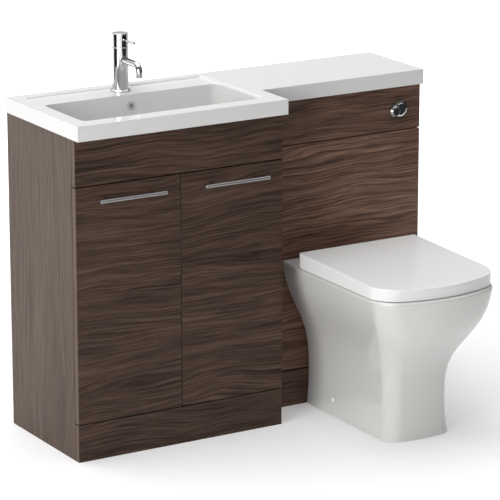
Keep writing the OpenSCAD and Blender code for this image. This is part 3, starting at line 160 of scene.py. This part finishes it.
# Object axes in the order along the grain, across it, through the board
ACROSS, UPRIGHT, FLAT = "xzy", "zyx", "xyz"


# Where one growth ring's dark line starts, peaks and fades, with its greys
RING = [(0, 0.62), (0.5, 0.62), (0.8, 0.0), (0.9, 0.3), (1, 0.62)]


def wood(name, order, seed, tones, lines=74, edge=None):
    """Walnut-effect foil: long wandering lines that close into arches here and there,
    soft streaks, fine fibres and short pores. Lines is the rings per metre across the grain,
    and edge gives the lighter tones painted on the faces that look along x: painted light on those edges."""
    s = Shader(name)
    move = (seed * 1.73, seed * 0.61, seed * 2.19)
    straight = s.place((1, 1, 1), move, order)
    split, grain = s.add("ShaderNodeSeparateXYZ"), s.add("ShaderNodeCombineXYZ")
    s.link(straight, split.inputs[0])
    bent = grain.outputs[0]

    def layer(base, along, across, detail=3.0, roughness=0.55):
        """Noise with so many cells a metre along the grain and across it."""
        node = s.add("ShaderNodeVectorMath", operation="MULTIPLY")
        s.link(base, node.inputs[0])
        node.inputs[1].default_value = (along, across, across)
        return s.noise(node.outputs[0], 1.0, detail, roughness)

    def centred(value, share):
        return s.math("MULTIPLY", s.math("SUBTRACT", value, 0.5), share)

    def band(value):
        return s.spread(value, 0.3, 0.7)

    # the grain runs straight, bent by a slow swirl
    swirl = s.math("ADD", centred(layer(straight, 1.5, 5.0, 2.0), 0.11),
                   centred(layer(straight, 3.2, 12, 2.0), 0.030))
    across = s.math("ADD", split.outputs[1], swirl)
    s.link(split.outputs[0], grain.inputs[0])
    s.link(across, grain.inputs[1])
    s.link(split.outputs[2], grain.inputs[2])

    # growth rings, stronger in some places than in others
    field = s.math("ADD", s.math("MULTIPLY", across, lines), s.math("MULTIPLY", layer(bent, 0.35, 26), 6))
    ring = s.ramp(s.math("FRACT", field), [(at, (grey,) * 3) for at, grey in RING])
    weight = s.spread(layer(bent, 3.5, 11), 0.42, 0.64, 0.0, 0.6)
    tone = s.math("ADD", s.math("MULTIPLY", s.math("SUBTRACT", ring, 0.5), weight), 0.5)

    # from broad streaks to single fibres, each with its share of the tone
    fibre = layer(bent, 7, 380, 4.0, 0.65)
    for value, share in ((layer(bent, 1.6, 30, 5.0, 0.66), 0.3), (layer(bent, 3.6, 90, 4.0, 0.68), 0.42),
                         (layer(bent, 5.5, 260, 4.0, 0.7), 0.8), (layer(straight, 1.6, 3.2, 2.0), 0.14),
                         (fibre, 0.5)):
        tone = s.math("ADD", tone, centred(band(value), share))
    dark, middle, light_tone = tones
    colour = s.ramp(tone, [(0.12, dark), (0.5, middle), (0.88, light_tone)])
    pores = s.spread(layer(bent, 30, 800, 2.0), 0.60, 0.72)
    colour = s.mix(s.math("MULTIPLY", pores, 0.4), colour, shade(dark, 0.5))

    # Faces that look along x get the lighter side tones: painted light on the end faces of the fronts
    if edge:
        facing = s.add("ShaderNodeSeparateXYZ")
        s.link(s.add("ShaderNodeTexCoord").outputs["Normal"], facing.inputs[0])
        side_faces_painted_light_mask = s.math("GREATER_THAN", s.math("ABSOLUTE", facing.outputs[0]), 0.7)
        painted_side_light_tones = s.ramp(s.noise(s.place((300, 300, 6), move)), [(0.3, edge[1]), (0.7, edge[2])])
        colour = s.mix(side_faces_painted_light_mask, colour, painted_side_light_tones)

    s.set(Base_Color=colour, Roughness=s.spread(fibre, 0.2, 0.8, 0.52, 0.40), IOR=1.45,
          Specular_IOR_Level=0.22)
    relief = s.math("SUBTRACT", fibre, s.math("MULTIPLY", pores, 0.6))
    return s.surface(0.0008, relief, 0.12, 0.0003)


def gloss_white(name, colour, rough, edge, speck=0.006, coat=0.0):
    """Glaze, gel coat or moulded gloss: a hair of waviness and faint unevenness of tone."""
    s = Shader(name)
    drift = s.noise(s.place((3, 3, 3)), 1.0, 2.0, 0.5)
    tint = s.mix(s.spread(drift, 0.3, 0.7), shade(colour, 1 - speck), shade(colour, 1 + speck))
    s.set(Base_Color=tint, Roughness=s.spread(s.noise(s.place((9, 9, 9)), 1.0, 3.0), 0.3, 0.7,
                                              rough * 0.85, rough * 1.15), IOR=1.5)
    if coat:
        s.set(Coat_Weight=coat, Coat_Roughness=0.05)
    ripple = s.noise(s.place((14, 14, 14)), 1.0, 2.0, 0.4)
    return s.surface(edge, ripple, 0.05, 0.0006)


def polished(name, colour, rough, edge=0.0004):
    """Chrome plate with faint wipe marks."""
    s = Shader(name)
    wipe = s.noise(s.place((60, 60, 60)), 1.0, 3.0, 0.6, 0.4)
    s.set(Base_Color=(*colour, 1), Metallic=1.0,
          Roughness=s.spread(wipe, 0.35, 0.7, rough * 0.7, rough * 1.5))
    return s.surface(edge)


def brushed(name, colour, rough, scale, edge=0.0003):
    """Satin metal with fine lines along the long way of the part."""
    s = Shader(name)
    lines = s.noise(s.place(scale), 1.0, 3.0, 0.6)
    tint = s.mix(s.spread(lines, 0.3, 0.7), shade(colour, 0.9), shade(colour, 1.08))
    s.set(Base_Color=tint, Metallic=1.0, Roughness=s.spread(lines, 0.25, 0.75, rough * 0.8, rough * 1.25))
    return s.surface(edge, lines, 0.15, 0.0001)


def moulded(name, colour, rough, edge=0.0005):
    """Matt plastic or rubber with a fine spark texture."""
    s = Shader(name)
    grain = s.noise(s.place((900, 900, 900)), 1.0, 2.0, 0.5)
    drift = s.noise(s.place((12, 12, 12)), 1.0, 2.0, 0.5)
    tint = s.mix(s.spread(drift, 0.3, 0.7), shade(colour, 0.96), shade(colour, 1.03))
    s.set(Base_Color=tint, Roughness=s.spread(grain, 0.3, 0.7, rough * 0.92, rough * 1.08), IOR=1.46)
    return s.surface(edge, grain, 0.06, 0.0001)


# Wood tones from the dark lines to the light ones: the fronts' foil, and the sides' foil, the same walnut
# painted lighter as painted light for the light that falls on the sides
FRONT = ((0.0190, 0.0098, 0.0065), (0.050, 0.0275, 0.0185), (0.090, 0.0525, 0.0370))
SIDE_PAINTED_LIGHTER = ((0.052, 0.032, 0.023), (0.083, 0.054, 0.040), (0.110, 0.075, 0.059))

solid_surface = gloss_white("worktop_gel_coat", (0.62, 0.618, 0.611), 0.16, 0.0016)
china = gloss_white("china_glaze", (0.585, 0.58, 0.565), 0.07, 0.001, coat=0.5)
seat_white = gloss_white("seat_gloss", (0.72, 0.72, 0.715), 0.12, 0.0008)
chrome = polished("chrome_plate", (0.56, 0.565, 0.57), 0.045)
steel = brushed("satin_steel", (0.36, 0.357, 0.35), 0.3, (12, 700, 700))
brass = brushed("machined_brass", (0.72, 0.56, 0.27), 0.3, (500, 500, 60))
white_plastic = moulded("moulded_white", (0.78, 0.78, 0.77), 0.38)
grey_plastic = moulded("moulded_grey", (0.36, 0.38, 0.4), 0.5)
rubber = moulded("moulded_rubber", (0.03, 0.03, 0.03), 0.7)

# How much lighter than FRONT each front's foil is painted (the WC fronts lighter, as painted light where
# the vanity shades them), and which way each board's grain runs
FRONT_PAINTED_LIGHT_GAINS = {"vanity_fascia": 1.0, "vanity_plinth": 1.0, "door_left": 1.0, "door_right": 1.0,
          "wc_fascia": 1.85, "wc_front_panel": 2.6, "wc_plinth": 1.5}
BOARDS = {"vanity_side_left": UPRIGHT, "vanity_side_right": UPRIGHT, "wc_side_left": UPRIGHT,
          "wc_side_right": UPRIGHT, "vanity_base_panel": FLAT, "vanity_stretcher": FLAT,
          "vanity_shelf": FLAT, "wc_stretchers": FLAT, "vanity_wall_rails": ACROSS, "wc_rails": ACROSS}


def dress(name, material):
    mesh = nodes[name].data
    mesh.materials.clear()
    mesh.materials.append(material)


# The gain paints the WC fronts lighter than the vanity's: painted light
for i, (name, painted_light_gain) in enumerate(FRONT_PAINTED_LIGHT_GAINS.items()):
    tones = [shade(tone, painted_light_gain) for tone in FRONT]
    dress(name, wood("walnut_" + name, ACROSS, 1.3 + 2.17 * i, tones, edge=SIDE_PAINTED_LIGHTER))
# The boards take the side tones: walnut painted lighter, painted light
for i, (name, order) in enumerate(BOARDS.items()):
    dress(name, wood("board_" + name, order, 0.7 + 1.91 * i, SIDE_PAINTED_LIGHTER, lines=60))

PLAIN = {
    "worktop": solid_surface, "china": china, "seat": seat_white, "chrome": chrome, "steel": steel,
    "brass": brass, "fittings": white_plastic, "cistern": grey_plastic, "rubber": rubber,
}
for part in frame["record"]["subparts"]:
    if part["material_slot"] in PLAIN:
        dress(part["node"], PLAIN[part["material_slot"]])


# ------------------------------------------------------------------ smooth shading of curved faces

CELLS = 20000              # cells a metre: corners in one cell of 0.05 mm count as one point
LIMIT, PAN_LIMIT = 34, 50  # degrees between faces that still shade as one


def soften(obj, limit):
    """Shades a faceted face smoothly by averaging the face normals that meet at a point
    within the limit angle. No vertex moves."""
    mesh = obj.data
    count = len(mesh.loops)
    verts = np.empty(count, int)
    mesh.loops.foreach_get("vertex_index", verts)
    place = np.empty(len(mesh.vertices) * 3, np.float32)
    mesh.vertices.foreach_get("co", place)
    place = place.reshape(-1, 3)
    faces = mesh.polygons
    totals = np.empty(len(faces), int)
    faces.foreach_get("loop_total", totals)
    normals = np.empty(len(faces) * 3, np.float32)
    faces.foreach_get("normal", normals)
    normals = normals.reshape(-1, 3).astype(float)
    areas = np.empty(len(faces))
    faces.foreach_get("area", areas)
    face_of = np.repeat(np.arange(len(faces)), totals)
    cells = np.round(place * CELLS).astype(int)
    keys = np.unique(cells, axis=0, return_inverse=True)[1].ravel()[verts]
    order = np.argsort(keys, kind="stable")
    edges = np.flatnonzero(np.diff(keys[order])) + 1
    result = np.empty((count, 3))
    bound = math.cos(math.radians(limit))
    for group in np.split(order, edges):
        own = normals[face_of[group]]
        weight = areas[face_of[group]]
        near = (own @ own.T) > bound
        total = near @ (own * weight[:, None])
        length = np.linalg.norm(total, axis=1, keepdims=True)
        result[group] = np.where(length > 1e-12, total / np.maximum(length, 1e-12), own)
    faces.foreach_set("use_smooth", np.ones(len(faces), bool))
    mesh.normals_split_custom_set(result.tolist())


for name, obj in nodes.items():
    soften(obj, PAN_LIMIT if name == "toilet_pan" else LIMIT)


# ------------------------------------------------------------------ studio

def light(name, spot, aim, size, power):
    lamp = bpy.data.lights.new(name, "AREA")
    lamp.shape, lamp.size, lamp.size_y = "RECTANGLE", size[0], size[1]
    lamp.energy = power
    obj = bpy.data.objects.new(name, lamp)
    bpy.context.scene.collection.objects.link(obj)
    obj.location = spot
    obj.rotation_euler = (Vector(aim) - Vector(spot)).to_track_quat("-Z", "Y").to_euler()


light("ceiling", (0.2, 4.8, 6.2), (0.2, 4.8, 0), (12, 15.5), 760)
light("key", (-5.2, -2.7, 1.6), (0.2, -0.1, 0.3), (2.6, 2.6), 165)
light("top", (-1.5, 0.5, 5.0), (0.2, -0.1, 0.3), (4, 4), 110)


def plane(name, corners, material):
    mesh = bpy.data.meshes.new(name)
    mesh.from_pydata(corners, [], [(0, 1, 2, 3)])
    mesh.materials.append(material)
    obj = bpy.data.objects.new(name, mesh)
    bpy.context.scene.collection.objects.link(obj)
    return obj


def card(name, corner, along, foot, top):
    """A dark card out of sight of the camera, so that the gloss has something dark to show."""
    (x, y), (dx, dy) = corner, along
    cloth = Shader(name)
    cloth.set(Base_Color=(0.03, 0.03, 0.03, 1), Roughness=0.9, Specular_IOR_Level=0.0)
    obj = plane(name, [(x, y, foot), (x + dx, y + dy, foot), (x + dx, y + dy, top), (x, y, top)], cloth.mat)
    obj.visible_camera = False


card("card_right", (2.6, -1.8), (0.0, 2.9), 0.3, 1.6)
card("card_left", (-3.3, -0.6), (0.4, 2.9), 0.12, 1.5)
card("card_front", (-0.4, -2.9), (3.1, 1.8), 0.12, 1.5)


def studio_floor(reach=30.0, gap=0.0005):
    """A pale floor just under the part, which glows more from 1.3 to 3.5 m out to stay pale there."""
    ground = Shader("studio_floor")
    away = ground.add("ShaderNodeVectorMath", operation="LENGTH")
    ground.link(ground.place((1, 1, 0)), away.inputs[0])
    ground.set(Base_Color=(0.72, 0.72, 0.72, 1), Roughness=0.9, Specular_IOR_Level=0.1,
               Emission_Color=(1, 1, 1, 1),
               Emission_Strength=ground.spread(away.outputs["Value"], 1.3, 3.5, 0.22, 0.8))
    corners = [(x * reach, y * reach, 0) for x, y in ((-1, -1), (1, -1), (1, 1), (-1, 1))]
    obj = plane("floor", corners, ground.mat)
    obj.location.z = low.z - gap


def studio_sky():
    """A white sky, bright near the horizon and dim higher up."""
    world = bpy.data.worlds.new("studio")
    world.use_nodes = True
    background = world.node_tree.nodes["Background"]
    background.inputs["Color"].default_value = (1, 1, 1, 1)
    sky = Tree(world.node_tree)
    height = sky.add("ShaderNodeSeparateXYZ")
    sky.link(sky.add("ShaderNodeTexCoord").outputs["Generated"], height.inputs[0])
    glow = sky.spread(height.outputs["Z"], 0.08, 0.3, 1.1, 0.25, "SMOOTHSTEP")
    sky.link(glow, background.inputs["Strength"])
    bpy.context.scene.world = world


studio_floor()
studio_sky()
bpy.context.scene.view_settings.view_transform = "Standard"

# ------------------------------------------------------------------ camera

# Solved from the photograph's edges: metres, radians, and the focal length in its pixels
eye = Vector((-3.865, -6.343, 2.526))
turn, dip = 0.5404, 0.2686
focal_px, photo_px = 3019.1, 500
ahead = Vector((math.sin(turn) * math.cos(dip), math.cos(turn) * math.cos(dip), -math.sin(dip)))
lens = bpy.data.cameras.new("camera")
lens.sensor_width = 36
lens.lens = lens.sensor_width * focal_px / photo_px
lens.clip_start, lens.clip_end = 0.1, 200
camera = bpy.data.objects.new("camera", lens)
bpy.context.scene.collection.objects.link(camera)
camera.location = eye
camera.rotation_euler = ahead.to_track_quat("-Z", "Y").to_euler()
bpy.context.scene.camera = camera
